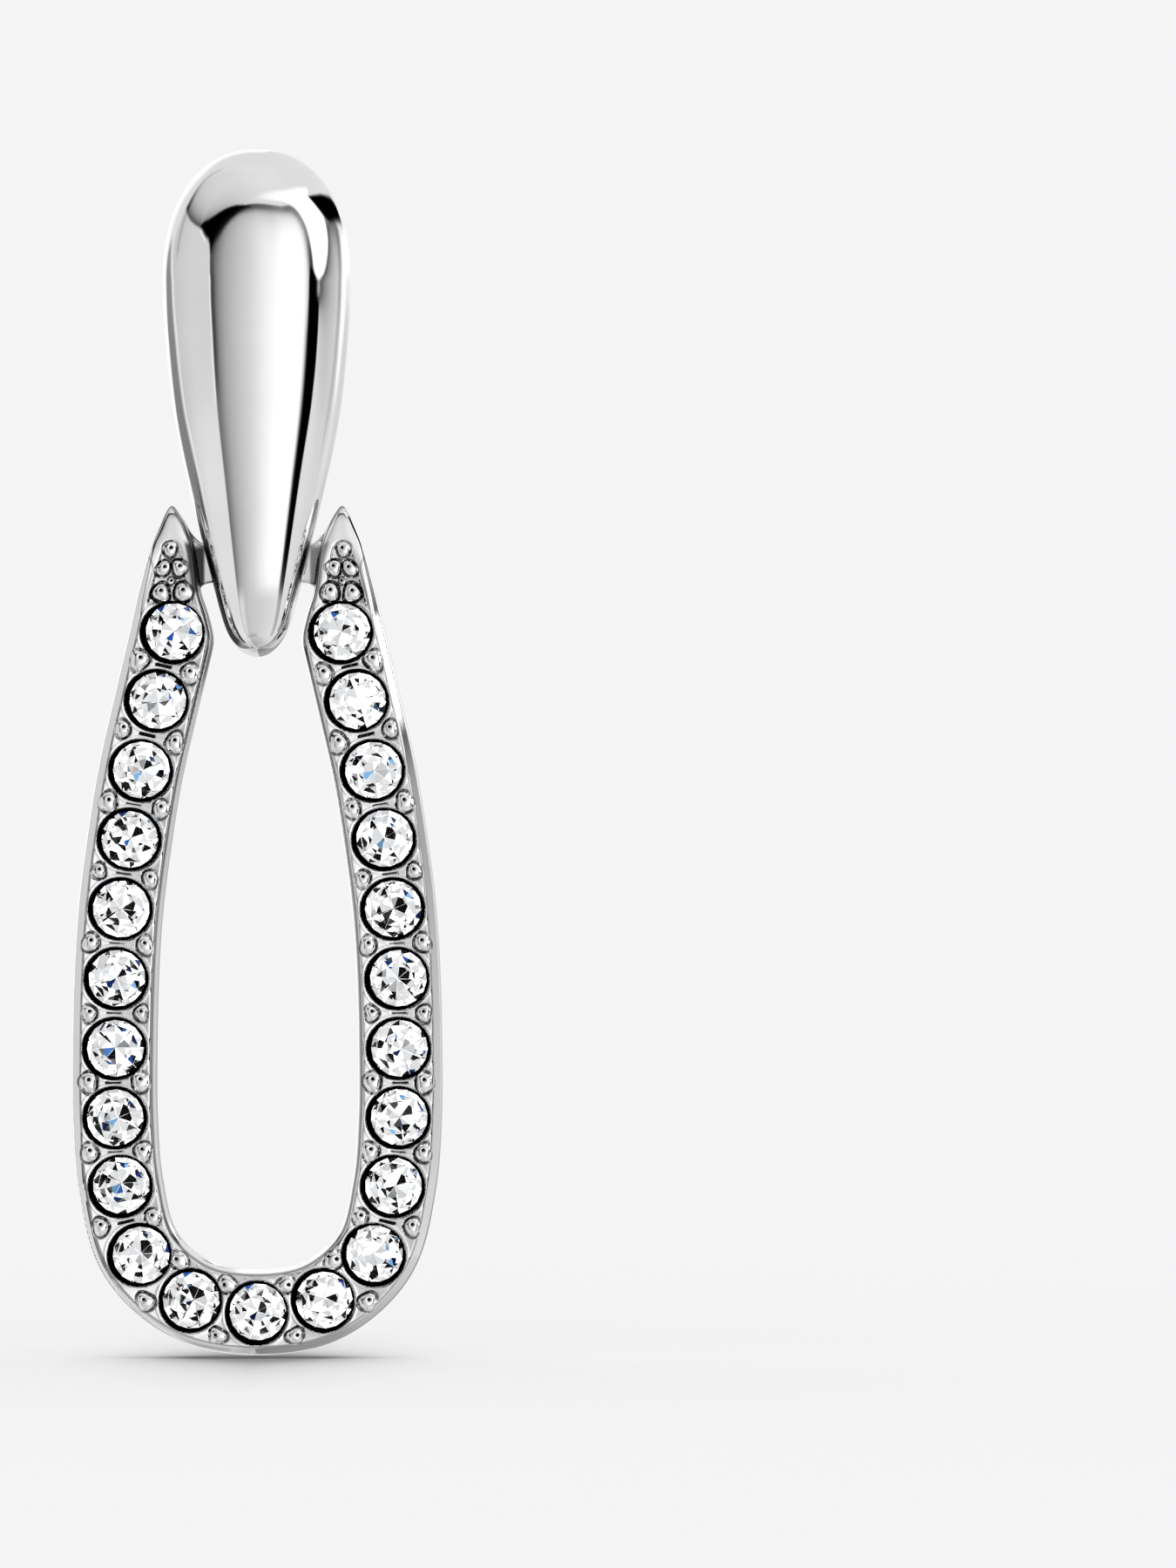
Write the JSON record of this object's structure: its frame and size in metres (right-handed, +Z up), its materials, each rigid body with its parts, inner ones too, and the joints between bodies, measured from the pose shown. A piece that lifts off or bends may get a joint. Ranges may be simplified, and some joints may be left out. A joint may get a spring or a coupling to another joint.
{
  "type": "door knocker earring",
  "caption": "Drop earring: polished half-teardrop stud on a post, with a long open loop set with one row of round crystals that swings on a crossbar.",
  "frame": {"origin": "where the ear post leaves the stud's flat back, in the plane that lies against the front of the ear lobe", "axes": "+Z up as worn, +Y from the lobe's front towards its back along the post (the earring faces -Y), +X to the wearer's left"},
  "size_m": [0.0118, 0.0138, 0.0385],
  "materials": {
    "polished_silver": "mirror-polished silver-tone plate",
    "setting_silver": "polished silver-tone plate, bead set",
    "post_silver": "plain drawn wire, silver-tone plate",
    "clear_crystal": "clear cut glass on foil"
  },
  "bodies": {
    "stud": {"teardrop_stud": "polished_silver", "ear_post": "post_silver"},
    "drop": {"knocker_loop": "setting_silver", "crystal_01": "clear_crystal", "crystal_02": "clear_crystal", "crystal_03": "clear_crystal", "crystal_04": "clear_crystal", "crystal_05": "clear_crystal", "crystal_06": "clear_crystal", "crystal_07": "clear_crystal", "crystal_08": "clear_crystal", "crystal_09": "clear_crystal", "crystal_10": "clear_crystal", "crystal_11": "clear_crystal", "crystal_12": "clear_crystal", "crystal_13": "clear_crystal", "crystal_14": "clear_crystal", "crystal_15": "clear_crystal", "crystal_16": "clear_crystal", "crystal_17": "clear_crystal", "crystal_18": "clear_crystal", "crystal_19": "clear_crystal", "crystal_20": "clear_crystal", "crystal_21": "clear_crystal", "crystal_22": "clear_crystal", "crystal_23": "clear_crystal"}
  },
  "joints": [
    {"name": "loop_swing", "type": "hinge", "parent": "stud", "child": "drop", "pos_m": [0, 0.00054, -0.01006], "axis": [1, 0, 0], "range_deg": [-90, 150]}
  ]
}
